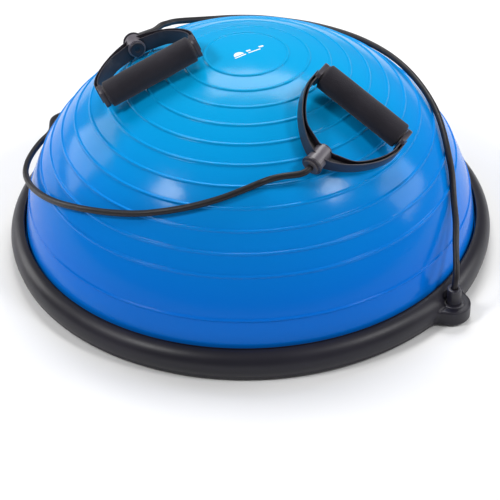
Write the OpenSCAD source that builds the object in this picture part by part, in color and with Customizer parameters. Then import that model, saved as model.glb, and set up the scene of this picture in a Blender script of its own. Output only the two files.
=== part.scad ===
// Balance dome trainer with two corded hand grips. Units are mm, +Z up,
// origin on the floor under the dome's centre, cord lugs on +X and -X.

/* [Dome] */
// Dome radius at its widest
dome_r = 271; // [240:1:300]
// Dome upward half-axis, from the level of its widest circle
dome_rise = 237.7; // [180:0.1:260]
// Height of the dome's widest circle
dome_z = 9; // [0:0.5:20]
// Dome skin thickness
skin_t = 3; // [2:0.5:6]
// Angle up the dome of the top rib
rib_first = 79.8; // [70:0.1:85]
// Spacing of the ribs along the skin
rib_pitch = 24.7; // [20:0.1:30]
// Height of a rib above the skin
rib_h = 1.3; // [0.6:0.1:3]

/* [Ring and base] */
// Rim ring outer radius
ring_r = 290; // [260:1:320]
// Rim ring inner radius
ring_in = 272.4; // [250:0.1:300]
// Height of the rim ring
ring_top = 34; // [26:0.5:45]
// Underside of the ring and base above the floor
base_z = 2; // [1:0.5:5]
// Top of the base platform
base_top = 12; // [8:0.5:16]
// Height of a lug's flat top
lug_top = 20; // [16:0.5:26]
// Distance of a lug's hole from the centre
lug_r = 293; // [285:0.5:300]
// Radius of a lug's round nose
lug_nose = 22; // [18:0.5:26]

/* [Bands] */
// Band radius
band_r = 3.7; // [3:0.1:7]
// Top of the sleeve that guides the band out of its lug
sleeve_top = 41; // [32:1:50]
// Sleeve radius
sleeve_r = 8.4; // [7:0.1:10]

/* [Hand grips] */
// Foam grip radius
foam_r = 15.5; // [12:0.5:20]
// Foam grip length
foam_len = 108; // [90:1:130]
// Distance from the cord collar to the foam's axis
bow_reach = 90; // [80:1:110]
// Half width of the bow at its arms
bow_half = 59; // [50:1:70]
// Depth of the bow's channel strap
bow_depth = 18; // [12:1:24]
// Collar radius
collar_r = 10.5; // [9:0.5:14]

/* [Hidden] */
$fn = 96;
rib_count = 11;
screw_count = 12;
screw_at = 278.6;
base_r = 283.2;
screw_r = 2;
screw_head_r = 4;
screw_seat = 4.6;
foot_count = 6;
foot_at = 230;
foot_r = 16;
seat_r = 14;
valve_r = 5;
bead_r = 275.5;
skin_base = base_top + skin_t;
cap_t = 1.2;
cap_r = 12.5;
cap_gap = 0.3;
pin_r = 6;
pin_fit = 0.08;
core_r = 9;
collar_bore = 7;
collar_back = -14;
collar_front = 12;
flange_r = 12;
plate_in = foam_len / 2 + cap_t + 2 * cap_gap;
plate_out = plate_in + 5.5;
arm_from = 68;
lug_seat = lug_top - 5;
lug_mid = 290;
ring_waist = 16;
ring_foot = 287;
wall_in = 1.2;
wall_out = 4;
wall_t = 1.4;
web_t = 2.4;
curve_power = 1.28;
tube_sides = 10;

// Where each hand grip lies: collar centre, then rotation.
right_at = [159.3, -77.6, 205.6];
right_turn = [30.2, -12.7, 92.6];
left_at = [-131.4, -43, 228.7];
left_turn = [21.6, -10.2, -37.4];

// Band routes over the dome: azimuth and angle up the dome, hand chosen.
right_start = [
    [293, 0, 4], [293, 0, 24], [293, 0, 43], [292, 3, 53], [286, 12, 64], [275, 27, 78], [262, 46, 92]
];
right_over = [
    [15, 23, 0], [21, 28, 0], [27, 32, 0], [33, 34.5, 0], [40, 36.5, 0], [47, 38.5, 0], [54, 40, 0],
    [61, 41, 0], [68, 41.5, 0], [75, 41.5, 0], [82, 41.5, 0], [89, 41.5, 0], [97, 41.5, 0], [106, 41.8, 0],
    [115, 42.2, 0], [124, 43.5, 0], [133, 44.5, 0], [142, 46, 0], [149, 49, 0], [155, 52, 1],
    [161, 54.5, 3], [167, 57, 4.5], [172, 58.5, 6]
];
left_start = [
    [-293, 0, 4], [-293, 0, 24], [-293, 0, 43], [-292, -3, 52], [-288, -13, 61], [-282, -30, 69],
    [-275, -50, 75]
];
left_over = [
    [-164, 16, 1.5], [-158, 16.5, 2.5], [-152, 17, 4], [-146, 18, 5], [-140, 19, 5], [-134, 20.5, 3],
    [-128, 22.5, 1.5], [-121, 25, 0.5], [-114, 27.5, 0], [-107, 30, 0], [-100, 32.3, 0], [-92, 34.7, 0],
    [-84, 37, 0], [-76, 39.5, 0], [-68, 42, 0], [-60, 44.5, 0], [-52, 47, 0], [-47, 48.3, 1]
];
// Last stretch of each band, in the hand grip's own frame, up to the collar's mouth.
left_grip_end = [
    [-41, 29, -11], [-37, 19.5, -8], [-33.5, 10, -5], [-29.3, 4.2, -2.4],
    [-24.2, 1.2, -0.7], [-18.5, 0, 0], [-16, 0, 0]
];
right_grip_end = [
    [-50, 24.5, -13], [-41, 16.5, -8.5], [-34, 8.8, -4.7], [-29.4, 4, -2.3],
    [-24.6, 1.1, -0.7], [-19.5, 0, 0], [-16, 0, 0]
];
flex_rings = 4;

band_lift = band_r + rib_h + 0.6;

function speed(t) = sqrt(pow(dome_r * sin(t), 2) + pow(dome_rise * cos(t), 2)) * PI / 180;
function rib_t(i) = i == 0 ? rib_first : rib_t(i - 1) - rib_pitch / speed(rib_t(i - 1));
function arc_pt(t, inset) = [(dome_r - inset) * cos(t), dome_z + (dome_rise - inset) * sin(t)];
function arc_low(inset) = asin((skin_base - dome_z) / (dome_rise - inset));
function slope(t) = [cos(t) / dome_r, sin(t) / dome_rise];
function over(a, t, lift) = let(
    g = slope(t) / norm(slope(t)),
    r = dome_r * cos(t) + lift * g[0]
) [r * cos(a), r * sin(a), dome_z + dome_rise * sin(t) + lift * g[1]];

function rx(a) = [[1, 0, 0], [0, cos(a), -sin(a)], [0, sin(a), cos(a)]];
function ry(a) = [[cos(a), 0, sin(a)], [0, 1, 0], [-sin(a), 0, cos(a)]];
function rz(a) = [[cos(a), -sin(a), 0], [sin(a), cos(a), 0], [0, 0, 1]];
function place(p, at, turn) = at + rz(turn[2]) * ry(turn[1]) * rx(turn[0]) * p;

function band_route(start, dome, tail, at, turn) = concat(
    start,
    [for (p = dome) over(p[0], p[1], band_lift + p[2])],
    [for (p = tail) place(p, at, turn)]
);
right_route = band_route(right_start, right_over, left_grip_end, left_at, left_turn);
left_route = band_route(left_start, left_over, right_grip_end, right_at, right_turn);

function unit(v) = v / norm(v);
function heading(pts, i) = i == 0 ? unit(pts[1] - pts[0])
    : i == len(pts) - 1 ? unit(pts[i] - pts[i - 1])
    : unit(unit(pts[i + 1] - pts[i]) + unit(pts[i] - pts[i - 1]));
function side_vec(h, hint) = unit(cross(hint, h));
function hint_for(h) = abs(h[2]) > 0.9 ? [1, 0, 0] : [0, 0, 1];
function carry(pts, i) = i == 0 ? side_vec(heading(pts, 0), hint_for(heading(pts, 0)))
    : let(h = heading(pts, i), s = carry(pts, i - 1)) unit(s - h * (s * h));
function ring_pts(p, h, s, r) = [
    for (k = [0:tube_sides - 1])
        let(a = 360 * k / tube_sides) p + r * (cos(a) * s + sin(a) * cross(h, s))
];

module tube(pts, r, from, to) {
    verts = [for (i = [from:to]) each ring_pts(pts[i], heading(pts, i), carry(pts, i), r)];
    walls = [
        for (i = [0:to - from - 1], k = [0:tube_sides - 1])
            let(n = (k + 1) % tube_sides, a = i * tube_sides, b = a + tube_sides)
                each [[a + k, b + k, b + n], [a + k, b + n, a + n]]
    ];
    first_cap = [for (k = [0:tube_sides - 1]) k];
    last_cap = [for (k = [tube_sides - 1:-1:0]) (to - from) * tube_sides + k];
    polyhedron(verts, concat(walls, [first_cap], [last_cap]), convexity = 10);
}

module dome_bladder() {
    steps = 36;
    low = arc_low(0);
    low_in = arc_low(skin_t);
    color("deepskyblue") {
        rotate_extrude()
        polygon(concat(
            [[0, dome_z + dome_rise]],
            [for (i = [1:steps]) arc_pt(90 - i * (90 - low) / steps, 0)],
            [[bead_r, skin_base], [bead_r, base_top], [seat_r, base_top], [seat_r, skin_base]],
            [for (i = [0:steps - 1]) arc_pt(low_in + i * (90 - low_in) / steps, skin_t)],
            [[0, dome_z + dome_rise - skin_t]]
        ));
        for (i = [0:rib_count])
            rotate_extrude()
            translate(arc_pt(rib_t(i < rib_count ? i : rib_count + 1), -0.2))
            circle(r = rib_h - 0.2, $fn = 24);
    }
}

module lug_plan() {
    translate([lug_mid, 0])
    circle(r = lug_nose);
    polygon([
        [268, -44], [283, -30], [lug_mid + 4, -lug_nose + 0.4],
        [lug_mid + 4, lug_nose - 0.4], [283, 30], [268, 44]
    ]);
}

module at_lugs() {
    for (a = [0, 180])
        rotate([0, 0, a])
        children();
}

module rim_ring() {
    round_r = ring_top - ring_waist;
    color("dimgray")
    difference() {
        union() {
            rotate_extrude() {
                intersection() {
                    translate([ring_r - round_r, ring_waist])
                    circle(r = round_r);
                    translate([ring_in - 2, ring_waist])
                    square([30, 30]);
                }
                polygon([
                    [ring_in - 2, base_z], [ring_foot, base_z], [ring_r - 0.8, 9],
                    [ring_r, ring_waist], [ring_in - 2, ring_waist]
                ]);
                translate([ring_in + 1, ring_top - 0.4])
                circle(r = 1.6, $fn = 32);
            }
            at_lugs()
            translate([0, 0, base_z])
            linear_extrude(height = lug_top - base_z)
            lug_plan();
        }
        translate([0, 0, -1])
        cylinder(r = base_r + 0.3, h = base_top + 1);
        translate([0, 0, -1])
        cylinder(r = bead_r + 0.3, h = skin_base + 1);
        cylinder(r = ring_in, h = 60);
        for (i = [0:screw_count - 1])
            rotate([0, 0, 15 + i * 360 / screw_count])
            translate([screw_at, 0, base_top - 1])
            cylinder(r = screw_r, h = 12, $fn = 32);
        at_lugs()
        translate([lug_r, 0, 0]) {
            cylinder(r = 6, h = 40, $fn = 48);
            translate([0, 0, lug_seat])
            cylinder(r = 12, h = 20);
            translate([0, 0, -1])
            cylinder(r = 11.5, h = 9);
        }
    }
}

module base_platform() {
    color("darkslategray")
    difference() {
        translate([0, 0, base_z])
        cylinder(r = base_r, h = base_top - base_z);
        for (i = [0:screw_count - 1])
            rotate([0, 0, 15 + i * 360 / screw_count])
            translate([screw_at, 0, 0]) {
                cylinder(r = screw_r + 0.2, h = 20, $fn = 32);
                cylinder(r = screw_head_r + 0.3, h = screw_seat, $fn = 32);
            }
        for (i = [0:foot_count - 1])
            rotate([0, 0, i * 360 / foot_count])
            translate([foot_at, 0, 0])
            cylinder(r = foot_r, h = 4);
        cylinder(r = 22, h = 8);
        cylinder(r = 9, h = 20);
        at_lugs()
        translate([lug_r, 0, 0])
        cylinder(r = 13, h = 20);
        for (r = [90, 130, 170])
            translate([0, 0, base_z - 1])
            rotate_extrude()
            translate([r, 0])
            square([8, 2]);
    }
}

module base_screws() {
    color("silver")
    for (i = [0:screw_count - 1])
        rotate([0, 0, 15 + i * 360 / screw_count])
        translate([screw_at, 0, 0]) {
            translate([0, 0, screw_seat - 0.5])
            cylinder(r = screw_r, h = 12, $fn = 32);
            difference() {
                translate([0, 0, screw_seat - 2.2])
                cylinder(r = screw_head_r, h = 2.2, $fn = 32);
                translate([0, 0, screw_seat - 2.3])
                linear_extrude(height = 1.3) {
                    square([5, 1], center = true);
                    square([1, 5], center = true);
                }
            }
        }
}

module foot_pad(i) {
    color("black")
    rotate([0, 0, i * 360 / foot_count])
    translate([foot_at, 0, 0])
    difference() {
        cylinder(r = foot_r - 0.2, h = 4);
        for (r = [4, 9])
            translate([0, 0, -0.1])
            rotate_extrude()
            translate([r, 0])
            square([1.5, 0.9]);
    }
}

module valve_seat() {
    color("lightgray")
    difference() {
        union() {
            translate([0, 0, 8])
            cylinder(r = 9, h = 4);
            translate([0, 0, base_top])
            cylinder(r = seat_r, h = skin_t);
            translate([0, 0, skin_base])
            cylinder(r = 20, h = 2);
        }
        cylinder(r = valve_r, h = 30);
    }
}

module valve_plug() {
    color("gray")
    difference() {
        union() {
            translate([0, 0, 3.2])
            cylinder(r = 12, h = 4.6);
            translate([0, 0, 7])
            cylinder(r = valve_r - 0.05, h = 9);
            translate([0, 0, 16])
            cylinder(r1 = valve_r - 0.05, r2 = 3.6, h = 2);
        }
        translate([0, 0, 3])
        linear_extrude(height = 2.4)
        square([16, 3], center = true);
    }
}

module lug_bush(a) {
    color("whitesmoke")
    rotate([0, 0, a])
    translate([lug_r, 0, lug_seat])
    difference() {
        union() {
            cylinder(r = 12, h = 5.4);
            translate([0, 0, 5.4])
            cylinder(r1 = 12, r2 = 11, h = 0.8);
        }
        translate([0, 0, -1])
        cylinder(r = sleeve_r + 0.1, h = 20);
    }
}

module band_sleeve(a) {
    color("black")
    rotate([0, 0, a])
    translate([lug_r, 0, lug_seat])
    difference() {
        union() {
            cylinder(r = sleeve_r, h = sleeve_top - lug_seat - 1);
            translate([0, 0, sleeve_top - lug_seat - 1])
            cylinder(r1 = sleeve_r, r2 = sleeve_r - 1, h = 1);
        }
        translate([0, 0, -1])
        cylinder(r = band_r, h = 40, $fn = 48);
    }
}

module band_stopper(a) {
    color("dimgray")
    rotate([0, 0, a])
    translate([lug_r, 0, 3])
    difference() {
        cylinder(r = 11, h = 5);
        translate([0, 0, -1])
        cylinder(r = band_r, h = 8, $fn = 48);
    }
}

module band_main(route) {
    color("black")
    tube(route, band_r, 0, len(route) - 1 - flex_rings);
}

module band_flex(route) {
    color("black")
    tube(route, band_r, len(route) - 1 - flex_rings, len(route) - 1);
}

module at_grip(at, turn) {
    translate(at)
    rotate(turn)
    children();
}

module along_u(from, to, r, fn = 64) {
    translate([from, 0, 0])
    rotate([0, 90, 0])
    cylinder(r = r, h = to - from, $fn = fn);
}

module along_v(from, to, r, fn = 64) {
    translate([bow_reach, from, 0])
    rotate([-90, 0, 0])
    cylinder(r = r, h = to - from, $fn = fn);
}

function curve_pt(s, grow) = [
    arm_from - (arm_from + grow) * pow(max(cos(s), 0), curve_power),
    (bow_half + grow) * sign(s) * pow(abs(sin(s)), curve_power)
];
function curve(grow) = concat(
    [[bow_reach, -bow_half - grow]],
    [for (i = [-12:12]) curve_pt(i * 7.5, grow)],
    [[bow_reach, bow_half + grow]]
);

module strap(inner, outer, depth) {
    linear_extrude(height = depth, center = true)
    difference() {
        polygon(curve(outer));
        polygon(concat([[bow_reach + 1, -bow_half - inner]], curve(inner), [[bow_reach + 1, bow_half + inner]]));
    }
}

module bow(at, turn) {
    color("black")
    at_grip(at, turn)
    difference() {
        union() {
            strap(-wall_in, wall_t - wall_in, bow_depth);
            strap(wall_out - wall_t, wall_out, bow_depth);
            strap(-wall_in, wall_out, web_t);
            along_u(collar_back, collar_front, collar_r);
            along_u(collar_back, collar_back + 3, flange_r);
            for (s = [-1, 1]) {
                linear_extrude(height = bow_depth - 3, center = true)
                polygon([[8.6, s * 8], [10.8, s * 8], [28, s * 38.6], [25.6, s * 38.6]]);
                linear_extrude(height = web_t, center = true)
                polygon([[-2, s * 8], [10, s * 8], [27, s * 38], [22, s * 38]]);
                translate([0, s * (plate_in + plate_out) / 2, 0])
                rotate([90, 0, 0])
                linear_extrude(height = plate_out - plate_in, center = true)
                end_plate();
            }
            along_v(plate_in - 14, plate_in + 1, pin_r);
            along_v(-plate_in - 1, -plate_in + 14, pin_r);
        }
        along_u(collar_back - 1, collar_front + 1, collar_bore);
    }
}

module end_plate() {
    polygon([
        [bow_reach - 14, -8.5], [bow_reach - 10, -11.5], [bow_reach + 6, -11.5], [bow_reach + 9.5, -8],
        [bow_reach + 9.5, 8], [bow_reach + 6, 11.5], [bow_reach - 10, 11.5], [bow_reach - 14, 8.5]
    ]);
}

module collar_bush(at, turn) {
    color("dimgray")
    at_grip(at, turn)
    difference() {
        union() {
            along_u(collar_back - 2, collar_back, 9);
            along_u(collar_back, -5, collar_bore);
        }
        along_u(collar_back - 3, 0, band_r, 48);
    }
}

module band_plug(at, turn) {
    color("black")
    at_grip(at, turn)
    difference() {
        union() {
            along_u(collar_back - 1.98, -4, band_r, 48);
            along_u(-5, collar_front + 1, collar_bore - 0.1);
            along_u(collar_front + 0.1, collar_front + 3, 8.4);
        }
        along_u(collar_front + 2, collar_front + 4, 3.2, 48);
    }
}

module grip_core(at, turn) {
    color("gray")
    at_grip(at, turn)
    difference() {
        along_v(-foam_len / 2 - 0.3, foam_len / 2 + 0.3, core_r);
        along_v(-foam_len, foam_len, pin_r + pin_fit);
    }
}

module foam_grip(at, turn) {
    color("black")
    at_grip(at, turn)
    translate([bow_reach, 0, 0])
    rotate([-90, 0, 0])
    rotate_extrude()
    difference() {
        union() {
            square([foam_r, foam_len - 6], center = true);
            square([foam_r * 2 - 6, foam_len], center = true);
            for (s = [-1, 1])
                translate([foam_r - 3, s * (foam_len / 2 - 3)])
                circle(r = 3, $fn = 32);
            translate([0, -foam_len / 2 + 3])
            square([foam_r, foam_len - 6]);
        }
        translate([-foam_r * 2, -foam_len])
        square([foam_r * 2 + core_r, foam_len * 2]);
    }
}

module grip_cap(at, turn, s) {
    near = foam_len / 2 + cap_gap;
    far = near + cap_t;
    color("dimgray")
    at_grip(at, turn)
    difference() {
        along_v(s > 0 ? near : -far, s > 0 ? far : -near, cap_r);
        along_v(-foam_len, foam_len, pin_r + pin_fit);
    }
}

dome_bladder();
rim_ring();
base_platform();
base_screws();
foot_pad(0);  // foot_pad_1
foot_pad(1);  // foot_pad_2
foot_pad(2);  // foot_pad_3
foot_pad(3);  // foot_pad_4
foot_pad(4);  // foot_pad_5
foot_pad(5);  // foot_pad_6
valve_seat();
valve_plug();
lug_bush(0);  // lug_bush_right
lug_bush(180);  // lug_bush_left
band_sleeve(0);  // band_sleeve_right
band_sleeve(180);  // band_sleeve_left
band_stopper(0);  // band_stopper_right
band_stopper(180);  // band_stopper_left
band_main(right_route);  // band_right
band_main(left_route);  // band_left
band_flex(right_route);  // band_right_end
band_flex(left_route);  // band_left_end
bow(right_at, right_turn);  // bow_right
bow(left_at, left_turn);  // bow_left
collar_bush(right_at, right_turn);  // collar_bush_right
collar_bush(left_at, left_turn);  // collar_bush_left
band_plug(right_at, right_turn);  // band_plug_right
band_plug(left_at, left_turn);  // band_plug_left
grip_core(right_at, right_turn);  // grip_core_right
grip_core(left_at, left_turn);  // grip_core_left
foam_grip(right_at, right_turn);  // foam_grip_right
foam_grip(left_at, left_turn);  // foam_grip_left
grip_cap(right_at, right_turn, -1);  // grip_cap_right_1
grip_cap(right_at, right_turn, 1);  // grip_cap_right_2
grip_cap(left_at, left_turn, -1);  // grip_cap_left_1
grip_cap(left_at, left_turn, 1);  // grip_cap_left_2
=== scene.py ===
import math

import bmesh
import bpy
import numpy as np
from mathutils import Matrix, Vector, noise


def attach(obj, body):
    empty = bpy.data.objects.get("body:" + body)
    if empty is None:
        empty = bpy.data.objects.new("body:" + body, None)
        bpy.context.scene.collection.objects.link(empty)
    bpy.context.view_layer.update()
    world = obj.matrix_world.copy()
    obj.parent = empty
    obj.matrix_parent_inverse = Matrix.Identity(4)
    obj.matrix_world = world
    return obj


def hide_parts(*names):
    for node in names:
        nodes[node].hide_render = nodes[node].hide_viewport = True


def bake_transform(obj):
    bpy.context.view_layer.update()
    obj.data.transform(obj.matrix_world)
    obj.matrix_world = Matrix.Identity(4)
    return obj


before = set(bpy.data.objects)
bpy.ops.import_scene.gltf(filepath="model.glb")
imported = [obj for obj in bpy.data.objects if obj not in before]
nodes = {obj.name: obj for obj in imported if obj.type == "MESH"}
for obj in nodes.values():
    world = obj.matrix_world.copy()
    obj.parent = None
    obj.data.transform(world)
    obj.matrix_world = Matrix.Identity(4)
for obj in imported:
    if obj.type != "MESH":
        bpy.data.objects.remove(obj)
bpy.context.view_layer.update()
MM = 0.001

# ---------------------------------------------------------------- measures, mm, as in the CAD part
DOME_R, DOME_RISE, DOME_Z = 271.0, 237.7, 9.0
# Eleven ribs at even steps from the first one's ellipse angle, then one more after a skipped step.
RIB_FIRST, RIB_PITCH, RIB_H, RIB_HALF, RIB_COUNT = 79.8, 24.7, 1.3, 1.7, 11
SKIN, SKIN_BASE, BASE_TOP, SEAT_R = 3.0, 15.0, 12.0, 14.0
BEAD_R, RING_R, RING_IN, RING_TOP, RING_WAIST, RING_FOOT = 275.5, 290.0, 272.4, 34.0, 16.0, 287.0
BASE_Z, BASE_R = 2.0, 283.2
LUG_R, LUG_MID, LUG_NOSE, LUG_TOP, LUG_SEAT = 293.0, 290.0, 22.0, 20.0, 15.0
SLEEVE_TOP, SLEEVE_R = 41.0, 8.4
BAND_R, BAND_LIFT = 3.7, 5.6
FOAM_R, FOAM_LEN, CORE_R, PIN_R, CAP_R, CAP_T, CAP_GAP = 15.5, 108.0, 9.0, 6.0, 12.5, 1.2, 0.3
BOW_REACH, BOW_HALF, BOW_DEPTH, ARM_FROM, CURVE_POWER = 90.0, 59.0, 18.0, 68.0, 1.28
WALL_IN, WALL_OUT, WALL_T, WEB_T = -1.2, 4.0, 1.4, 2.4
PLATE_IN = FOAM_LEN / 2 + CAP_T + 2 * CAP_GAP
PLATE_OUT = PLATE_IN + 5.5
COLLAR_R, FLANGE_R, COLLAR_BORE, COLLAR_BACK, COLLAR_FRONT = 10.5, 12.0, 7.0, -14.0, 12.0
GRIPS = {
    "right": ((159.3, -77.6, 205.6), (30.2, -12.7, 92.6)),
    "left": ((-131.4, -43.0, 228.7), (21.6, -10.2, -37.4)),
}
GAP = 0.3

# Fineness of the meshes, and the angles past which an edge stays sharp
BAND_STEP, BAND_SIDES, DOME_SIDES = 0.0022, 18, 288
SHARP, SHARP_AFTER_CUT = 38, 34

# Band routes, the same points as in the part: straight stretch, then azimuth and angle up the dome with an
# extra lift, then the last stretch in the hand grip's own frame.
RIGHT_START = [
    (293, 0, 4), (293, 0, 24), (293, 0, 43), (292, 3, 53), (286, 12, 64), (275, 27, 78), (262, 46, 92),
]
RIGHT_OVER = [
    (15, 23, 0), (21, 28, 0), (27, 32, 0), (33, 34.5, 0), (40, 36.5, 0), (47, 38.5, 0), (54, 40, 0),
    (61, 41, 0), (68, 41.5, 0), (75, 41.5, 0), (82, 41.5, 0), (89, 41.5, 0), (97, 41.5, 0), (106, 41.8, 0),
    (115, 42.2, 0), (124, 43.5, 0), (133, 44.5, 0), (142, 46, 0), (149, 49, 0), (155, 52, 1),
    (161, 54.5, 3), (167, 57, 4.5), (172, 58.5, 6),
]
LEFT_GRIP_END = [
    (-41, 29, -11), (-37, 19.5, -8), (-33.5, 10, -5), (-29.3, 4.2, -2.4),
    (-24.2, 1.2, -0.7), (-18.5, 0, 0), (-16, 0, 0),
]
LEFT_START = [
    (-293, 0, 4), (-293, 0, 24), (-293, 0, 43), (-292, -3, 52),
    (-288, -13, 61), (-282, -30, 69), (-275, -50, 75),
]
LEFT_OVER = [
    (-164, 16, 1.5), (-158, 16.5, 2.5), (-152, 17, 4), (-146, 18, 5), (-140, 19, 5), (-134, 20.5, 3),
    (-128, 22.5, 1.5), (-121, 25, 0.5), (-114, 27.5, 0), (-107, 30, 0), (-100, 32.3, 0), (-92, 34.7, 0),
    (-84, 37, 0), (-76, 39.5, 0), (-68, 42, 0), (-60, 44.5, 0), (-52, 47, 0), (-47, 48.3, 1),
]
RIGHT_GRIP_END = [
    (-50, 24.5, -13), (-41, 16.5, -8.5), (-34, 8.8, -4.7), (-29.4, 4, -2.3),
    (-24.6, 1.1, -0.7), (-19.5, 0, 0), (-16, 0, 0),
]


# ---------------------------------------------------------------- geometry helpers
def grip_matrix(side):
    """The hand grip's own frame in metres: u to the foam, v along the foam, n away from the dome."""
    at, turn = GRIPS[side]
    a, b, c = (math.radians(x) for x in turn)
    spin = Matrix.Rotation(c, 4, "Z") @ Matrix.Rotation(b, 4, "Y") @ Matrix.Rotation(a, 4, "X")
    return Matrix.Translation(Vector(at) * MM) @ spin @ Matrix.Scale(MM, 4)


def in_grip(side, p):
    """A point of the hand grip's frame, in metres in the row frame."""
    return grip_matrix(side) @ Vector(p)


def over(azimuth, t, lift):
    """A point at that azimuth and ellipse angle, lifted off the dome, in mm."""
    a, e = math.radians(azimuth), math.radians(t)
    slope = Vector((math.cos(e) / DOME_R, math.sin(e) / DOME_RISE)).normalized()
    r = DOME_R * math.cos(e) + lift * slope[0]
    return Vector((r * math.cos(a), r * math.sin(a), DOME_Z + DOME_RISE * math.sin(e) + lift * slope[1]))


def smooth_path(points, step):
    """A centripetal Catmull-Rom curve through the points, cut into equal steps."""
    pts = [Vector(p) for p in points]
    pts = [2 * pts[0] - pts[1]] + pts + [2 * pts[-1] - pts[-2]]
    dense = []
    for i in range(1, len(pts) - 2):
        p0, p1, p2, p3 = pts[i - 1:i + 3]
        knots = [0.0]
        for a, b in ((p0, p1), (p1, p2), (p2, p3)):
            knots.append(knots[-1] + max((b - a).length, 1e-9) ** 0.5)
        k0, k1, k2, k3 = knots
        for j in range(24):
            t = k1 + (k2 - k1) * j / 24
            a1 = p0 * ((k1 - t) / (k1 - k0)) + p1 * ((t - k0) / (k1 - k0))
            a2 = p1 * ((k2 - t) / (k2 - k1)) + p2 * ((t - k1) / (k2 - k1))
            a3 = p2 * ((k3 - t) / (k3 - k2)) + p3 * ((t - k2) / (k3 - k2))
            b1 = a1 * ((k2 - t) / (k2 - k0)) + a2 * ((t - k0) / (k2 - k0))
            b2 = a2 * ((k3 - t) / (k3 - k1)) + a3 * ((t - k1) / (k3 - k1))
            dense.append(b1 * ((k2 - t) / (k2 - k1)) + b2 * ((t - k1) / (k2 - k1)))
    dense.append(pts[-2])
    flat = np.array([list(p) for p in dense])
    along = np.concatenate([[0], np.cumsum(np.linalg.norm(np.diff(flat, axis=0), axis=1))])
    count = max(2, round(along[-1] / step))
    want = np.linspace(0, along[-1], count + 1)
    return np.stack([np.interp(want, along, flat[:, k]) for k in range(3)], axis=1), along[-1]


def shade(mesh, angle):
    """Smooth shading, with edges that turn by more than the angle kept sharp."""
    mesh.polygons.foreach_set("use_smooth", [True] * len(mesh.polygons))
    mesh.set_sharp_from_angle(angle=math.radians(angle))


def make(name, verts, faces, material, smooth_angle=SHARP):
    """A mesh object with outward faces and smooth shading up to an angle."""
    mesh = bpy.data.meshes.new(name)
    mesh.from_pydata([tuple(v) for v in verts], [], faces)
    mesh.validate()
    bm = bmesh.new()
    bm.from_mesh(mesh)
    bmesh.ops.recalc_face_normals(bm, faces=bm.faces)
    bm.to_mesh(mesh)
    bm.free()
    shade(mesh, smooth_angle)
    obj = bpy.data.objects.new(name, mesh)
    bpy.context.scene.collection.objects.link(obj)
    mesh.materials.append(material)
    return obj


def tube(points, radius, sides, wobble=0.0):
    """Vertices and faces of a closed tube along the points."""
    pts = np.array(points)
    heads = np.gradient(pts, axis=0)
    heads /= np.linalg.norm(heads, axis=1)[:, None]
    side = np.cross([0.3, 0.2, 0.9] if abs(heads[0][2]) < 0.9 else [1, 0, 0], heads[0])
    verts, faces = [], []
    for i, (p, h) in enumerate(zip(pts, heads)):
        side = side - h * side.dot(h)
        side /= np.linalg.norm(side)
        other = np.cross(h, side)
        for k in range(sides):
            a = 2 * math.pi * k / sides
            r = radius * (1 + wobble * math.sin(i * 0.21 + 2 * a) * math.sin(i * 0.037))
            verts.append(p + r * (math.cos(a) * side + math.sin(a) * other))
    for i in range(len(pts) - 1):
        for k in range(sides):
            n = (k + 1) % sides
            faces.append((i * sides + k, i * sides + n, (i + 1) * sides + n, (i + 1) * sides + k))
    faces.append(tuple(range(sides - 1, -1, -1)))
    faces.append(tuple((len(pts) - 1) * sides + k for k in range(sides)))
    return verts, faces


def rounded(points, radius, cuts=4):
    """A closed outline with each corner rounded. radius is one number, or one for each corner."""
    out, count = [], len(points)
    for i, p in enumerate(points):
        r = radius[i] if hasattr(radius, "__len__") else radius
        p = Vector(p)
        a, b = Vector(points[i - 1]) - p, Vector(points[(i + 1) % count]) - p
        if r <= 0 or a.length < 1e-6 or b.length < 1e-6 or abs(a.angle(b) - math.pi) < 0.02:
            out.append(tuple(p))
            continue
        d = min(r / math.tan(a.angle(b) / 2), a.length * 0.45, b.length * 0.45)
        start, end = p + a.normalized() * d, p + b.normalized() * d
        for k in range(cuts + 1):
            u = k / cuts
            out.append(tuple((1 - u) ** 2 * start + 2 * u * (1 - u) * p + u * u * end))
    return out


def lathe(profile, segments, closed=True):
    """Turns a profile of (radius, height) about the local Z axis. Points on the axis become poles."""
    verts, faces, rows = [], [], []
    for r, z in profile:
        if r < 1e-6:
            rows.append([len(verts)] * segments)
            verts.append(Vector((0, 0, z)))
        else:
            rows.append(list(range(len(verts), len(verts) + segments)))
            for k in range(segments):
                a = 2 * math.pi * k / segments
                verts.append(Vector((r * math.cos(a), r * math.sin(a), z)))
    last = len(rows) if closed else len(rows) - 1
    for i in range(last):
        a, b = rows[i], rows[(i + 1) % len(rows)]
        for k in range(segments):
            n = (k + 1) % segments
            face = []
            for v in (a[k], a[n], b[n], b[k]):
                if v not in face:
                    face.append(v)
            if len(face) > 2:
                faces.append(tuple(face))
    return verts, faces


def placed(verts, matrix):
    """The vertices moved by the matrix."""
    return [matrix @ Vector(v) for v in verts]


ALONG_U = Matrix.Rotation(math.radians(90), 4, "Y")
ALONG_V = Matrix.Rotation(math.radians(-90), 4, "X")
AT_FOAM = Matrix.Translation((BOW_REACH, 0, 0))


def turned(name, profile, matrix, material, segments=64):
    """A lathed piece. The profile is in mm, and the matrix places it and brings it to metres."""
    verts, faces = lathe(profile, segments)
    return make(name, placed(verts, matrix), faces, material)


def boolean(target, other, how):
    """Joins, cuts or intersects two meshes and removes the second."""
    modifier = target.modifiers.new("cut", "BOOLEAN")
    modifier.operation, modifier.object, modifier.solver = how, other, "EXACT"
    bpy.context.view_layer.update()
    mesh = bpy.data.meshes.new_from_object(target.evaluated_get(bpy.context.evaluated_depsgraph_get()))
    target.modifiers.clear()
    target.data = mesh
    bpy.data.objects.remove(other)
    return target


# ---------------------------------------------------------------- material helpers
def srgb(r, g, b):
    """A linear colour from 8-bit sRGB values."""
    linear = [((c / 255 + 0.055) / 1.055) ** 2.4 if c > 10 else c / 255 / 12.92 for c in (r, g, b)]
    return (*linear, 1.0)


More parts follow.
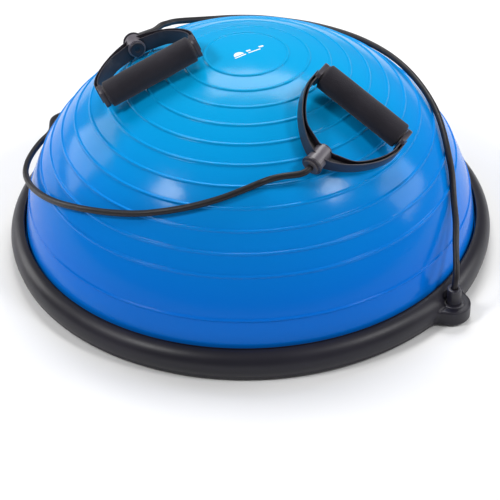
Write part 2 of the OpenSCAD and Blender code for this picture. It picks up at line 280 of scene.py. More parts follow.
def paler(colour, gain, lift):
    return tuple(min(1, c * gain + lift) for c in colour[:3]) + (1,)


class Nodes:
    """Builds a material's node tree with few words."""

    def __init__(self, name):
        self.material = bpy.data.materials.new(name)
        self.material.use_nodes = True
        self.tree = self.material.node_tree
        self.shader = self.tree.nodes["Principled BSDF"]
        self.place = self.node("ShaderNodeTexCoord").outputs["Object"]

    def node(self, kind, **values):
        n = self.tree.nodes.new(kind)
        for key, value in values.items():
            setattr(n, key, value)
        return n

    def link(self, a, b):
        self.tree.links.new(a, b)

    def noise(self, scale, detail=3, stretch=None, roughness=0.5, distortion=0.0):
        n = self.node("ShaderNodeTexNoise")
        n.inputs["Scale"].default_value = scale
        n.inputs["Detail"].default_value = detail
        n.inputs["Roughness"].default_value = roughness
        n.inputs["Distortion"].default_value = distortion
        source = self.place
        if stretch:
            m = self.node("ShaderNodeMapping")
            m.inputs["Scale"].default_value = stretch
            self.link(self.place, m.inputs["Vector"])
            source = m.outputs["Vector"]
        self.link(source, n.inputs["Vector"])
        return n.outputs["Fac"]

    def ramp(self, source, stops):
        n = self.node("ShaderNodeValToRGB")
        while len(n.color_ramp.elements) < len(stops):
            n.color_ramp.elements.new(0.5)
        for e, (at, colour) in zip(n.color_ramp.elements, stops):
            e.position = at
            e.color = colour if hasattr(colour, "__len__") else (colour, colour, colour, 1)
        self.link(source, n.inputs["Fac"])
        return n.outputs["Color"]

    def range(self, source, a, b, low, high):
        n = self.node("ShaderNodeMapRange")
        for key, value in zip(("From Min", "From Max", "To Min", "To Max"), (a, b, low, high)):
            n.inputs[key].default_value = value
        self.link(source, n.inputs["Value"])
        return n.outputs["Result"]

    def math(self, how, a, b):
        n = self.node("ShaderNodeMath", operation=how)
        for socket, value in zip(n.inputs, (a, b)):
            if isinstance(value, (int, float)):
                socket.default_value = value
            else:
                self.link(value, socket)
        return n.outputs[0]

    def mix(self, factor, a, b, how="MIX"):
        n = self.node("ShaderNodeMix", data_type="RGBA", blend_type=how)
        for socket, value in ((n.inputs["Factor"], factor), (n.inputs[6], a), (n.inputs[7], b)):
            if isinstance(value, (int, float, tuple)):
                socket.default_value = value
            else:
                self.link(value, socket)
        return n.outputs[2]

    def bump(self, height, distance, strength=1.0, after=None):
        n = self.node("ShaderNodeBump")
        n.inputs["Distance"].default_value = distance
        n.inputs["Strength"].default_value = strength
        self.link(height, n.inputs["Height"])
        if after is not None:
            self.link(after, n.inputs["Normal"])
        return n.outputs["Normal"]

    def edges(self, low=0.5, high=0.62):
        """White on protruding edges, used for wear and for the painted highlight on the bow's rims."""
        g = self.node("ShaderNodeNewGeometry")
        return self.range(g.outputs["Pointiness"], low, high, 0.0, 1.0)

    def finish(self, colour, roughness, normal, **sockets):
        self.link(colour, self.shader.inputs["Base Color"])
        self.link(roughness, self.shader.inputs["Roughness"])
        if normal is not None:
            self.link(normal, self.shader.inputs["Normal"])
        for key, value in sockets.items():
            self.shader.inputs[key.replace("_", " ")].default_value = value
        return self.material


def moulded(name, base, lighter, rough, grain=900, depth=0.00006, patch=9, wear_and_highlight=0.25, **sockets):
    """Moulded plastic or rubber: uneven tone, fine texture, duller rubbed patches, and paler edges for wear
    and, on the bow, a painted highlight.
    """
    m = Nodes(name)
    clouds = m.noise(patch, 4)
    fine = m.noise(grain, 2)
    scuff = m.noise(60, 5, (1, 1, 0.35), 0.65, 0.8)
    tone = m.mix(m.range(clouds, 0.35, 0.65, 0.0, 1.0), base, lighter)
    marks = m.math("MULTIPLY", m.range(scuff, 0.6, 0.75, 0.0, 1.0), 0.35)
    tone = m.mix(marks, tone, paler(lighter, 2.2, 0.01))
    # Paler protruding edges: wear on most parts; on the bow the large amount is a painted highlight along its
    # rims.
    tone = m.mix(m.math("MULTIPLY", m.edges(), wear_and_highlight), tone, paler(lighter, 3, 0.03))
    speck = m.range(fine, 0.3, 0.7, -0.04, 0.04)
    uneven = m.range(clouds, 0.3, 0.7, rough - 0.05, rough + 0.06)
    roughness = m.math("ADD", m.math("ADD", uneven, speck), m.math("MULTIPLY", marks, 0.3))
    normal = m.bump(scuff, depth * 1.5, 0.4, m.bump(fine, depth))
    return m.finish(tone, roughness, normal, **sockets)


def dome_material():
    """Glossy blue skin: its tone follows the height as painted light and shade, with faint clouds, orange
    peel, swirls and dust.
    """
    m = Nodes("dome_pvc")
    split = m.node("ShaderNodeSeparateXYZ")
    m.link(m.place, split.inputs[0])
    dome_top = 0.247
    height = m.range(split.outputs["Z"], 0.0, dome_top, 0.0, 1.0)
    # Painted light and shade by height: paler and greener towards the lit top, deepest a little above the
    # base, and paler again at the foot as painted bounce light from the floor.
    tone = m.ramp(height, [
        (0.0, (0.001, 0.26, 0.88, 1)), (0.16, (0.001, 0.175, 0.74, 1)), (0.30, (0.001, 0.170, 0.71, 1)),
        (0.62, (0.001, 0.235, 0.72, 1)), (0.85, (0.001, 0.315, 0.70, 1)), (1.0, (0.003, 0.355, 0.69, 1)),
    ])
    clouds = m.noise(5, 4)
    cloudy = m.range(clouds, 0.3, 0.7, 0.0, 0.35)
    tone = m.mix(cloudy, tone, m.mix(1.0, tone, (0.86, 0.93, 0.98, 1), "MULTIPLY"))
    peel = m.noise(320, 3)
    swirl = m.noise(38, 4, (1, 1, 1.6), 0.6, 0.5)
    dust = m.noise(1400, 2)
    roughness = m.math("ADD", m.range(swirl, 0.3, 0.7, 0.11, 0.17), m.range(dust, 0.4, 0.7, 0.0, 0.04))
    normal = m.bump(swirl, 0.00035, 0.5, m.bump(peel, 0.00004, 0.7))
    return m.finish(tone, roughness, normal, Specular_IOR_Level=0.13, IOR=1.45)


def foam_material():
    m = Nodes("foam_nbr")
    cells = m.node("ShaderNodeTexVoronoi")
    cells.inputs["Scale"].default_value = 900
    m.link(m.place, cells.inputs["Vector"])
    pores = m.range(cells.outputs["Distance"], 0.0, 0.55, 0.0, 1.0)
    clouds = m.noise(26, 5)
    grain = m.noise(1500, 3)
    tone = m.mix(m.range(clouds, 0.3, 0.7, 0.0, 1.0), srgb(31, 29, 37), srgb(42, 39, 47))
    tone = m.mix(m.range(pores, 0.0, 0.5, 0.55, 0.0), tone, srgb(18, 16, 20))
    tone = m.mix(m.math("MULTIPLY", m.edges(0.51, 0.6), 0.35), tone, srgb(78, 74, 80))
    roughness = m.range(grain, 0.3, 0.7, 0.82, 0.97)
    normal = m.bump(grain, 0.00012, 0.7, m.bump(pores, 0.00022, 0.8))
    return m.finish(tone, roughness, normal, Specular_IOR_Level=0.3, Sheen_Weight=0.12, Sheen_Roughness=0.5)


def band_material():
    m = Nodes("band_latex")
    clouds = m.noise(22, 4)
    drawn = m.noise(240, 4, (1, 1, 1), 0.7)
    dust = m.noise(1100, 2)
    tone = m.mix(m.range(clouds, 0.3, 0.7, 0.0, 1.0), srgb(17, 15, 20), srgb(27, 24, 29))
    bloom = m.math("MULTIPLY", m.range(dust, 0.55, 0.75, 0.0, 1.0), 0.3)
    tone = m.mix(bloom, tone, srgb(74, 68, 68))
    roughness = m.range(drawn, 0.3, 0.7, 0.36, 0.52)
    normal = m.bump(drawn, 0.00012, 0.6, m.bump(dust, 0.00004))
    return m.finish(tone, roughness, normal, Specular_IOR_Level=0.35)


def steel_material():
    m = Nodes("zinc_steel")
    brushed = m.noise(700, 4, (1, 1, 0.2))
    clouds = m.noise(80, 3)
    tone = m.mix(m.range(clouds, 0.3, 0.7, 0.0, 1.0), srgb(168, 170, 174), srgb(140, 142, 148))
    roughness = m.range(brushed, 0.3, 0.7, 0.26, 0.44)
    return m.finish(tone, roughness, m.bump(brushed, 0.00003, 0.6), Metallic=1.0)


DOME = dome_material()
FOAM = foam_material()
BAND = band_material()
STEEL = steel_material()
RING = moulded(
    "ring_pp", srgb(21, 20, 30), srgb(29, 27, 39), 0.4, 1300, 0.00005, 7, 0.2, Specular_IOR_Level=0.4,
)
BASE = moulded("base_pp", srgb(38, 36, 42), srgb(48, 46, 52), 0.5, 900, 0.00008, 6, 0.2)
# The bow's large edge amount (0.75) paints the highlight on its lit rims.
BOW = moulded("bow_nylon", srgb(28, 25, 33), srgb(38, 34, 43), 0.36, 1200, 0.00005, 25, 0.75)
COLLAR = moulded("collar_nylon", srgb(84, 80, 88), srgb(104, 99, 107), 0.38, 1200, 0.00005, 30, 0.3)
FOOT = moulded("foot_rubber", srgb(24, 23, 24), srgb(34, 33, 34), 0.7, 700, 0.00012, 30, 0.15)
VALVE = moulded("valve_pvc", srgb(176, 178, 182), srgb(196, 197, 200), 0.38, 1000, 0.00004, 40, 0.0)
PLUG = moulded("plug_pvc", srgb(132, 134, 140), srgb(150, 152, 158), 0.4, 1000, 0.00004, 40, 0.0)
BUSH = moulded("bush_pp", srgb(24, 23, 31), srgb(34, 32, 42), 0.4, 1100, 0.00004, 40, 0.9)
BUSH_DARK = moulded("bush_dark_pp", srgb(62, 58, 62), srgb(80, 76, 80), 0.42, 1100, 0.00004, 40, 0.2)
SLEEVE = moulded("sleeve_rubber", srgb(30, 29, 38), srgb(40, 38, 48), 0.36, 900, 0.00004, 30, 0.5)
CORE = moulded("core_pp", srgb(96, 94, 98), srgb(112, 110, 114), 0.5, 900, 0.00005, 40, 0.1)
PRINT = moulded("print_white", srgb(226, 232, 238), srgb(238, 242, 246), 0.4, 1500, 0.00002, 60, 0.0)


# ---------------------------------------------------------------- camera
def make_camera():
    eye = Vector((1.06735, -1.31808, 1.24112))
    heading, tilt, roll = (math.radians(x) for x in (39.04616, 52.99518, -1.49515))
    data = bpy.data.cameras.new("camera")
    data.sensor_width, data.lens = 36, 123.54
    camera = bpy.data.objects.new("camera", data)
    bpy.context.scene.collection.objects.link(camera)
    turn = Matrix.Rotation(heading, 4, "Z") @ Matrix.Rotation(tilt, 4, "X") @ Matrix.Rotation(roll, 4, "Z")
    camera.matrix_world = Matrix.Translation(eye) @ turn
    bpy.context.scene.camera = camera


make_camera()


# ---------------------------------------------------------------- bands
def make_band(name, start, dome_points, tail, grip_side):
    """An elastic band from its stopper, through the sleeve, over the dome and into the grip's collar."""
    route = [Vector(p) * MM for p in start]
    route += [over(a, t, BAND_LIFT + lift) * MM for a, t, lift in dome_points]
    route += [in_grip(grip_side, p) for p in tail]
    path, length = smooth_path(route, BAND_STEP)
    verts, faces = tube(path, BAND_R * MM, BAND_SIDES, 0.012)
    band = make(name, verts, faces, BAND)
    return band, path, length


band_right, path_right, length_right = make_band(
    "elastic_band_right", RIGHT_START, RIGHT_OVER, LEFT_GRIP_END, "left",
)
band_left, path_left, length_left = make_band(
    "elastic_band_left", LEFT_START, LEFT_OVER, RIGHT_GRIP_END, "right",
)


# ---------------------------------------------------------------- dome
def speed(t):
    """Millimetres along the dome's section for each degree of ellipse angle."""
    t = math.radians(t)
    return math.hypot(DOME_R * math.sin(t), DOME_RISE * math.cos(t)) * math.pi / 180


def rib_angles():
    found, t = [], RIB_FIRST
    for i in range(RIB_COUNT + 2):
        if i != RIB_COUNT:
            found.append(t)
        t -= RIB_PITCH / speed(t)
    return found


def make_dome():
    """One closed skin: ribbed outside, smooth inside, and the flat bead that the ring clamps."""
    ribs = rib_angles()
    low = math.degrees(math.asin((SKIN_BASE - DOME_Z) / DOME_RISE))
    low_in = math.degrees(math.asin((SKIN_BASE - DOME_Z) / (DOME_RISE - SKIN)))
    near = [-2.8, -2.0, -1.55, -1.2, -0.8, -0.4, 0.0, 0.4, 0.8, 1.2, 1.55, 2.0, 2.8]
    stops = {90.0: 0.0, low: 0.0}
    for t in np.linspace(low, 90, 96)[1:-1]:
        if all(abs(t - r) * speed(r) > 2 * RIB_HALF for r in ribs):
            stops[float(t)] = 0.0
    for r in ribs:
        for s in near:
            lift = RIB_H * max(0.0, 1 - (abs(s) / RIB_HALF) ** 2.2) ** 0.8
            stops[r + s / speed(r)] = lift
    profile = []
    for t in sorted(stops, reverse=True):
        e = math.radians(t)
        slope = Vector((math.cos(e) / DOME_R, math.sin(e) / DOME_RISE)).normalized()
        r = DOME_R * math.cos(e) + stops[t] * slope[0]
        z = DOME_Z + DOME_RISE * math.sin(e) + stops[t] * slope[1]
        profile.append((max(r, 0) if t < 89.99 else 0.0, z))
    profile += [(BEAD_R, SKIN_BASE), (BEAD_R, BASE_TOP), (SEAT_R, BASE_TOP), (SEAT_R, SKIN_BASE)]
    for i in range(37):
        e = math.radians(low_in + (90 - low_in) * i / 36)
        r = (DOME_R - SKIN) * math.cos(e)
        profile.append((r if i < 36 else 0.0, DOME_Z + (DOME_RISE - SKIN) * math.sin(e)))
    verts, faces = lathe(profile, DOME_SIDES, closed=False)
    out = []
    for v in verts:
        if v.z > 20 and v.length > 1:
            a = math.atan2(v.y, v.x)
            flat = math.hypot(v.x, v.y) / DOME_R
            wave = 0.22 * math.sin(2 * a + 0.7) + 0.16 * math.sin(3 * a + 2.1 + 4 * v.z / DOME_RISE)
            wave += 0.12 * math.sin(5 * a - 1.1 - 6 * v.z / DOME_RISE)
            outward = Vector((v.x / DOME_R ** 2, v.y / DOME_R ** 2, v.z / DOME_RISE ** 2)).normalized()
            v = v + outward * wave * flat
        out.append(v * MM)
    return make("dome_skin", out, faces, DOME, 60)


dome = make_dome()
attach(dome, "base")
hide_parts("dome_bladder")


# ---------------------------------------------------------------- rim ring with its two lugs
def smooth_min(a, b, k):
    h = np.clip(k - np.abs(a - b), 0, None) / k
    return np.minimum(a, b) - h * h * k / 4


def box_distance(dx, dy):
    return np.minimum(np.maximum(dx, dy), 0) + np.hypot(np.maximum(dx, 0), np.maximum(dy, 0))


def ring_distance(x, y, z):
    """Signed distance, in mm, to the ring's outside with its filleted lugs."""
    r = np.hypot(x, y)
    round_r = RING_TOP - RING_WAIST
    upper = np.hypot(r - (RING_R - round_r), z - RING_WAIST) - round_r
    taper = (RING_R - RING_FOOT) / (RING_WAIST - BASE_Z)
    below = RING_WAIST - z
    side = (r - RING_R + below * taper * np.clip(below / 9, 0, 1)) / math.hypot(1, taper)
    soft = 1.6
    lower = box_distance(side + soft, BASE_Z - z + soft) - soft
    body = np.where(z > RING_WAIST, upper, lower)
    ax = np.abs(x)
    nose = np.hypot(ax - LUG_MID, y) - LUG_NOSE
    plan = smooth_min(nose, r - 285.0, 17)
    edge = 2.2
    lug = box_distance(plan + edge, np.maximum(z - LUG_TOP, BASE_Z - z) + edge) - edge
    return smooth_min(body, lug, 3.0)


def lug_place(sign, z=0.0):
    return Matrix.Scale(MM, 4) @ Matrix.Translation((sign * LUG_R, 0, z))


def make_ring():
    """A polar grid: at each azimuth, rays from a point inside the ring's section find its outside."""
    azimuths = []
    for half in (0, 180):
        azimuths += [half + a for a in np.arange(-12, 12, 0.24)]
        azimuths += [half + a for a in np.arange(12, 168, 1.0)]
    azimuths = np.radians(np.array(azimuths))
    heart_r, heart_z = 279.0, 12.0
    turns = np.radians(np.concatenate([
        np.linspace(-125, -60, 12)[:-1], np.linspace(-60, 45, 64)[:-1], np.linspace(45, 105.4, 26),
    ]))
    a, t = np.meshgrid(azimuths, turns, indexing="ij")
    low, high = np.zeros_like(a), np.full_like(a, 48.0)
    for _ in range(34):
        mid = (low + high) / 2
        r, z = heart_r + mid * np.cos(t), heart_z + mid * np.sin(t)
        inside = ring_distance(r * np.cos(a), r * np.sin(a), z) < 0
        low, high = np.where(inside, mid, low), np.where(inside, high, mid)
    r, z = heart_r + low * np.cos(t), heart_z + low * np.sin(t)
    lip = rounded(
        [(RING_IN + 0.6, RING_TOP + 0.1), (RING_IN + 1.6, RING_TOP + 1.2), (RING_IN, RING_TOP + 0.6),
         (RING_IN, BASE_TOP + 3.3), (BEAD_R + GAP, BASE_TOP + 3.3), (BEAD_R + GAP, BASE_TOP),
         (BASE_R + GAP, BASE_TOP), (BASE_R + GAP, BASE_Z + 0.4), (BASE_R + 0.8, BASE_Z)],
        [0, 0.9, 0.9, 0.3, 0.3, 0.3, 0.5, 0.3, 0.3], 4,
    )
    rows, columns = r.shape[0], r.shape[1] + len(lip)
    verts, faces = [], []
    for i in range(rows):
        ca, sa = math.cos(azimuths[i]), math.sin(azimuths[i])
        for rr, zz in list(zip(r[i], z[i])) + lip:
            if rr < BASE_R + GAP and zz < BASE_TOP - 1:
                rr = BASE_R + 0.8 + 0.02 * rr / BASE_R
            verts.append((rr * ca * MM, rr * sa * MM, zz * MM))
    for i in range(rows):
        n = (i + 1) % rows
        for k in range(columns):
            m = (k + 1) % columns
            faces.append((i * columns + k, n * columns + k, n * columns + m, i * columns + m))
    ring = make("rim_ring_moulding", verts, faces, RING)
    for sign in (1, -1):
        for radius, z0, z1 in ((12.15, LUG_SEAT, 40), (6.0, -2, 30), (11.6, -2, 8)):
            v, f = lathe([(0, z0), (radius, z0), (radius, z1), (0, z1)], 72, closed=False)
            boolean(ring, make("tool", placed(v, lug_place(sign)), f, RING), "DIFFERENCE")
    shade(ring.data, SHARP_AFTER_CUT)
    return ring


ring = make_ring()
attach(ring, "base")
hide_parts("rim_ring")


# ---------------------------------------------------------------- small turned pieces on the base
def on_body(obj, body, node):
    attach(obj, body)
    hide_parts(node)


for side, sign in (("right", 1), ("left", -1)):
    bush = turned(
        f"lug_collar_{side}",
        rounded(
            [(SLEEVE_R + 0.1, 0), (12, 0), (12, 5.2), (11, 6.2), (SLEEVE_R + 0.1, 6.2)],
            [0.2, 0.2, 0.6, 0.5, 0.3],
        ),
        lug_place(sign, LUG_SEAT), BUSH,
    )
    on_body(bush, "base", f"lug_bush_{side}")
    top = SLEEVE_TOP - LUG_SEAT
    sleeve = turned(
        f"guide_sleeve_{side}",
        rounded(
            [(BAND_R + 0.05, 0), (SLEEVE_R, 0), (SLEEVE_R, 9), (SLEEVE_R - 0.35, 9.8),
             (SLEEVE_R - 0.35, top - 3.4), (SLEEVE_R, top - 2.8), (SLEEVE_R, top), (BAND_R + 0.6, top),
             (BAND_R + 0.05, top - 1.5)],
            [0.2, 0.2, 0.4, 0.4, 0.4, 0.4, 1.3, 0.6, 0.4],
        ),
        lug_place(sign, LUG_SEAT), SLEEVE,
    )
    on_body(sleeve, "base", f"band_sleeve_{side}")
    stopper = turned(
        f"end_stopper_{side}",
        rounded([(BAND_R, 0), (11, 0), (11, 5), (BAND_R, 5)], [0.3, 1.2, 0.8, 0.3]),
        lug_place(sign, 3), BUSH_DARK,
    )
    on_body(stopper, "base", f"band_stopper_{side}")


# ---------------------------------------------------------------- bands, with their placement baked
def declare_band(band, side):
    """Hides the CAD band and its end piece, and bakes the band's placement into its mesh."""
    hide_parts(f"band_{side}", f"band_{side}_end")
    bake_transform(band)


declare_band(band_right, "right")
declare_band(band_left, "left")


# ---------------------------------------------------------------- hand grips
def bow_curve():
    """Angles along the bow's curve, at about equal steps, from one arm to the other."""
    s = np.radians(np.linspace(-90, 90, 721))
    c, n = np.clip(np.cos(s), 0, None), np.sin(s)
    u = ARM_FROM - (ARM_FROM + 1.5) * c ** CURVE_POWER
    v = (BOW_HALF + 1.5) * np.sign(n) * np.abs(n) ** CURVE_POWER
    along = np.concatenate([[0], np.cumsum(np.hypot(np.diff(u), np.diff(v)))])
    return np.interp(np.linspace(0, along[-1], 84), along, s)


def bow_point(s, grow):
    n = math.sin(s)
    return (
        ARM_FROM - (ARM_FROM + grow) * max(math.cos(s), 0.0) ** CURVE_POWER,
        (BOW_HALF + grow) * math.copysign(abs(n) ** CURVE_POWER, n),
    )


def soft_max(a, b, k):
    h = max(k - abs(a - b), 0.0) / k
    return max(a, b) + h * h * k / 4


def strap_mesh():
    """The bow's strap: two walls joined by a thin web, so a groove shows on each face. Next to the collar the
    inner wall leaves the outer one and runs to the collar's front, which opens the groove into a pocket."""
    half, lip = BOW_DEPTH / 2, 0.15
    section = rounded([
        (WALL_IN, -half), (WALL_IN + WALL_T - lip, -half), (WALL_IN + WALL_T, -WEB_T / 2),
        (WALL_OUT - WALL_T, -WEB_T / 2), (WALL_OUT - WALL_T + lip, -half), (WALL_OUT, -half),
        (WALL_OUT, half), (WALL_OUT - WALL_T + lip, half), (WALL_OUT - WALL_T, WEB_T / 2),
        (WALL_IN + WALL_T, WEB_T / 2), (WALL_IN + WALL_T - lip, half), (WALL_IN, half),
    ], [0.55, 0.4, 0.4, 0.4, 0.4, 0.55, 0.55, 0.4, 0.4, 0.4, 0.4, 0.55], 3)
    middle, flare_end = (WALL_IN + WALL_OUT) / 2, 44
    stations = [("arm", u, -1) for u in (BOW_REACH - 6, 80, 76, 72)]
    stations += [("curve", s, 0) for s in bow_curve()]
    stations += [("arm", u, 1) for u in (72, 76, 80, BOW_REACH - 6)]
    verts, faces = [], []
    for kind, value, sign in stations:
        for grow, n in section:
            if kind == "arm":
                verts.append((value, sign * (BOW_HALF + grow), n))
                continue
            u, v = bow_point(value, grow)
            if grow < middle:
                base_u = bow_point(value, WALL_IN)[0]
                run = 10.9 + max(abs(v) - 9.0, 0) * 0.38
                edge = soft_max(base_u, min(run, 30.0), 4.0) if abs(v) < flare_end else base_u
                fade = min(max((flare_end - abs(v)) / 6, 0), 1)
                u += (edge - base_u) * fade
            verts.append((u, v, n))
    count = len(section)
    for i in range(len(stations) - 1):
        for k in range(count):
            m = (k + 1) % count
            faces.append((i * count + k, i * count + m, (i + 1) * count + m, (i + 1) * count + k))
    faces.append(tuple(range(count)))
    faces.append(tuple((len(stations) - 1) * count + k for k in range(count - 1, -1, -1)))
    return verts, faces


def slab(outline, low, high, soft=0.6):
    """A plate with softened edges, from an outline in the plane and two levels along the third axis."""
    mid = Vector((sum(p[0] for p in outline) / len(outline), sum(p[1] for p in outline) / len(outline)))
    levels = [
        (low, soft), (low + soft * 0.3, soft * 0.3), (low + soft, 0),
        (high - soft, 0), (high - soft * 0.3, soft * 0.3), (high, soft),
    ]
    verts, faces, count = [], [], len(outline)
    for level, inset in levels:
        for p in outline:
            d = Vector(p) - mid
            q = mid + d * (1 - inset / max(d.length, 1e-6))
            verts.append((q[0], q[1], level))
    for i in range(len(levels) - 1):
        for k in range(count):
            m = (k + 1) % count
            faces.append((i * count + k, i * count + m, (i + 1) * count + m, (i + 1) * count + k))
    faces.append(tuple(range(count - 1, -1, -1)))
    faces.append(tuple((len(levels) - 1) * count + k for k in range(count)))
    return verts, faces


def make_bow(side):
    where = grip_matrix(side)
    v, f = strap_mesh()
    bow = make(f"grip_bow_{side}", placed(v, where), f, BOW)
    parts = []
    near, far = BOW_REACH - 14, BOW_REACH + 9.5
    plate = rounded([
        (near, -8.5), (near + 4, -11.5), (far - 3.5, -11.5), (far, -8),
        (far, 8), (far - 3.5, 11.5), (near + 4, 11.5), (near, 8.5),
    ], 1.6, 3)
    swap = Matrix(((1, 0, 0, 0), (0, 0, 1, 0), (0, 1, 0, 0), (0, 0, 0, 1)))
    for low, high in ((PLATE_IN, PLATE_OUT), (-PLATE_OUT, -PLATE_IN)):
        v, f = slab(plate, low, high, 0.8)
        parts.append((placed(v, swap), f))
    for sign in (1, -1):
        pin = rounded(
            [(0, PLATE_IN - 14), (PIN_R, PLATE_IN - 14), (PIN_R, PLATE_IN + 1), (0, PLATE_IN + 1)],
            [0, 0.8, 0, 0], 3,
        )
        v, f = lathe(pin, 40, closed=False)
        flip = Matrix.Rotation(math.pi, 4, "X") if sign < 0 else Matrix.Identity(4)
        parts.append((placed(v, AT_FOAM @ flip @ ALONG_V), f))
    barrel = rounded([
        (0, COLLAR_BACK), (FLANGE_R, COLLAR_BACK), (FLANGE_R, COLLAR_BACK + 3), (COLLAR_R, COLLAR_BACK + 3.2),
        (COLLAR_R, COLLAR_FRONT), (0, COLLAR_FRONT),
    ], [0, 1.0, 0.8, 0.5, 0.9, 0], 4)
    v, f = lathe(barrel, 72, closed=False)
    parts.append((placed(v, ALONG_U), f))
    for k, (v, f) in enumerate(parts):
        boolean(bow, make(f"part_{k}", placed(v, where), f, BOW), "UNION")
    bore = [
        (0, COLLAR_BACK - 2), (COLLAR_BORE, COLLAR_BACK - 2),
        (COLLAR_BORE, COLLAR_FRONT + 2), (0, COLLAR_FRONT + 2),
    ]
    v, f = lathe(bore, 48, closed=False)
    boolean(bow, make("tool", placed(v, where @ ALONG_U), f, BOW), "DIFFERENCE")
    bow.data.materials.clear()
    bow.data.materials.append(BOW)
    bow.data.materials.append(COLLAR)
    shade(bow.data, SHARP_AFTER_CUT)
    back = where.inverted()
    for face in bow.data.polygons:
        corners = [back @ bow.data.vertices[i].co for i in face.vertices]
        reach = max(math.hypot(p.y, p.z) for p in corners)
        along = sum(p.x for p in corners) / len(corners)
        on_barrel = reach < COLLAR_R + 0.05 and COLLAR_BACK + 3.1 < along < COLLAR_FRONT + 0.1
        face.material_index = int(on_barrel)
    return bow


def foam_profile():
    half, soft = FOAM_LEN / 2, 2.4
    outline = [(CORE_R, -half), (FOAM_R, -half), (FOAM_R, half), (CORE_R, half)]
    corners = rounded(outline, [0.8, soft, soft, 0.8], 6)
    out = []
    for i, p in enumerate(corners):
        out.append(p)
        q = corners[(i + 1) % len(corners)]
        steps = int(abs(q[1] - p[1]) / 2.0)
        for k in range(1, steps):
            out.append((p[0] + (q[0] - p[0]) * k / steps, p[1] + (q[1] - p[1]) * k / steps))
    return out


def make_foam(side, seed):
    """The foam sleeve, slightly uneven, as soft foam is on its core."""
    verts, faces = lathe(foam_profile(), 96)
    out = []
    for v in verts:
        r = math.hypot(v.x, v.y)
        if r > CORE_R + 1:
            p = Vector((v.x * 0.055 + seed, v.y * 0.055, v.z * 0.035))
            dent = 0.32 * noise.noise(p) + 0.10 * noise.noise(p * 5.3) - 0.25
            v = Vector((v.x * (1 + dent / r), v.y * (1 + dent / r), v.z))
        out.append(v)
    place = grip_matrix(side) @ AT_FOAM @ ALONG_V
    return make(f"foam_sleeve_{side}", placed(out, place), faces, FOAM, 50)


for number, side in enumerate(("right", "left")):
    where = grip_matrix(side)
    hand, roller = f"hand_grip_{side}", f"foam_roller_{side}"
    on_body(make_bow(side), hand, f"bow_{side}")
    bush = turned(
        f"collar_ferrule_{side}",
        rounded(
            [(BAND_R + 0.1, COLLAR_BACK - 2), (9, COLLAR_BACK - 2), (9, COLLAR_BACK),
             (COLLAR_BORE, COLLAR_BACK), (COLLAR_BORE, -5), (BAND_R + 0.1, -5)],
            [0.7, 0.8, 0.2, 0, 0.3, 0.3],
        ),
        where @ ALONG_U, BUSH_DARK, 56,
    )
    on_body(bush, hand, f"collar_bush_{side}")
    plug = turned(
        f"cord_end_plug_{side}",
        rounded(
            [(0, COLLAR_BACK - 1.98), (BAND_R, COLLAR_BACK - 1.98), (BAND_R, -5), (COLLAR_BORE - 0.1, -5),
             (COLLAR_BORE - 0.1, COLLAR_FRONT + 0.1), (8.4, COLLAR_FRONT + 0.1), (8.4, COLLAR_FRONT + 3),
             (3.2, COLLAR_FRONT + 3), (3.2, COLLAR_FRONT + 2), (0, COLLAR_FRONT + 2)],
            [0, 0.2, 0, 0.3, 0, 0.4, 1.1, 0.3, 0.3, 0], 4,
        ),
        where @ ALONG_U, SLEEVE, 56,
    )
    on_body(plug, hand, f"band_plug_{side}")
    foam = make_foam(side, 3.7 + 5.1 * number)
    on_body(foam, roller, f"foam_grip_{side}")
    end = FOAM_LEN / 2
    core = turned(
        f"grip_tube_{side}",
        rounded([
            (PIN_R + 0.08, -end - GAP), (CORE_R, -end - GAP), (CORE_R, end + GAP), (PIN_R + 0.08, end + GAP),
        ], 0.3),
        where @ AT_FOAM @ ALONG_V, CORE,
    )
    on_body(core, roller, f"grip_core_{side}")
    for index, sign in ((1, -1), (2, 1)):
        near, far = sign * (end + CAP_GAP), sign * (end + CAP_GAP + CAP_T)
        cap = turned(
            f"end_washer_{side}_{index}",
            rounded(
                [(PIN_R + 0.08, near), (CAP_R, near), (CAP_R, far), (PIN_R + 0.08, far)],
                [0.2, 0.4, 0.4, 0.2],
            ),
            where @ AT_FOAM @ ALONG_V, BUSH_DARK,
        )
        on_body(cap, roller, f"grip_cap_{side}_{index}")


# ---------------------------------------------------------------- printed mark, generic shapes only
def make_mark():
    """A small white print near the top: a half disc on a line, and two short bars. No lettering."""
    centre, run = Vector((4.0, 0.0)), Vector((0.29, 0.957))
    rise = Vector((-run[1], run[0]))

    def spot(p, lift=0.25):
        q = centre + run * p[0] + rise * p[1]
        e = 1 - (q[0] / DOME_R) ** 2 - (q[1] / DOME_R) ** 2
        return Vector((q[0], q[1], DOME_Z + DOME_RISE * math.sqrt(e) + lift)) * MM

    half = [(-12.5 + 6.4 * math.cos(a), 0.6 + 6.4 * math.sin(a)) for a in np.linspace(0, math.pi, 24)]
    shapes = [half]
    for x0, x1, y0, y1 in ((-20, -5, -2.6, -1.0), (-1.5, 22, 1.4, 4.2), (-1.5, 15, -2.4, -0.8)):
        shapes.append([(x0, y0), (x1, y0), (x1, y1), (x0, y1)])
    verts, faces = [], []
    for outline in shapes:
        count, base = len(outline), len(verts)
        for lift in (0.02, 0.16):
            verts += [spot(p, lift) for p in outline]
        faces.append(tuple(base + count + k for k in range(count)))
        faces.append(tuple(base + k for k in range(count - 1, -1, -1)))
        for k in range(count):
            m = (k + 1) % count
            faces.append((base + k, base + m, base + count + m, base + count + k))
    return make("printed_mark", verts, faces, PRINT)


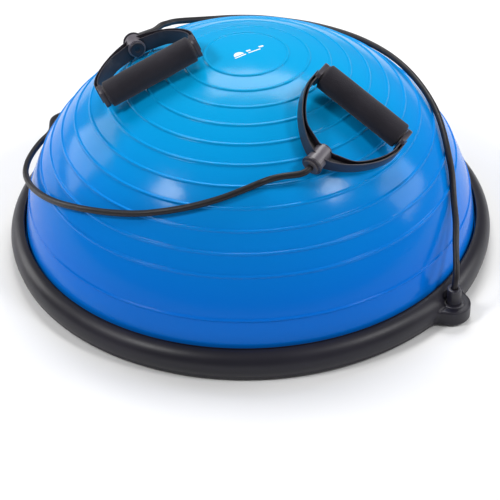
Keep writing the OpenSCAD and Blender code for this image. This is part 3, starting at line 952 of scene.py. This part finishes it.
mark = make_mark()
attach(mark, "base")

# ---------------------------------------------------------------- carried-over CAD nodes
for name, material in (
    ("base_platform", BASE), ("base_screws", STEEL), ("valve_seat", VALVE), ("valve_plug", PLUG),
    *((f"foot_pad_{i}", FOOT) for i in range(1, 7)),
):
    obj = nodes[name]
    obj.data.materials.clear()
    obj.data.materials.append(material)


# ---------------------------------------------------------------- floor and lights
def make_floor():
    m = Nodes("floor_pale")
    tone = m.mix(m.noise(3, 4), (0.86, 0.86, 0.865, 1), (0.89, 0.89, 0.89, 1))
    m.finish(tone, m.range(m.noise(40, 3), 0.3, 0.7, 0.55, 0.65), None)
    half, z = 4.0, -0.0002
    corners = [(-half, -half, z), (half, -half, z), (half, half, z), (-half, half, z)]
    make("floor", corners, [(0, 1, 2, 3)], m.material)


def softbox(name, azimuth, elevation, size, radiance, distance=3.0):
    """A square-on soft light in that direction from the dome, with the radiance given for its face."""
    data = bpy.data.lights.new(name, "AREA")
    data.shape, data.size, data.size_y = "RECTANGLE", size[0], size[1]
    data.energy = radiance * math.pi * size[0] * size[1]
    light = bpy.data.objects.new(name, data)
    bpy.context.scene.collection.objects.link(light)
    a, e = math.radians(azimuth), math.radians(elevation)
    away = Vector((math.cos(e) * math.cos(a), math.cos(e) * math.sin(a), math.sin(e)))
    dome_middle = Vector((0, 0, 0.12))
    light.location = away * distance + dome_middle
    light.rotation_euler = away.to_track_quat("Z", "Y").to_euler()


make_floor()
softbox("back_light", 123, 56, (1.7, 0.85), 12)
softbox("key_left", -115, 48, (0.68, 0.55), 29)
softbox("key_right", 14, 47, (0.58, 0.5), 27)
softbox("side_left", -170, 18, (1.3, 1.4), 4.4)
softbox("side_right", 45, 20, (1.2, 1.2), 6)

world = bpy.data.worlds.new("studio")
world.use_nodes = True
background = world.node_tree.nodes["Background"]
background.inputs["Color"].default_value = (1, 1, 1, 1)
background.inputs["Strength"].default_value = 0.22
bpy.context.scene.world = world
bpy.context.scene.view_settings.view_transform = "Standard"
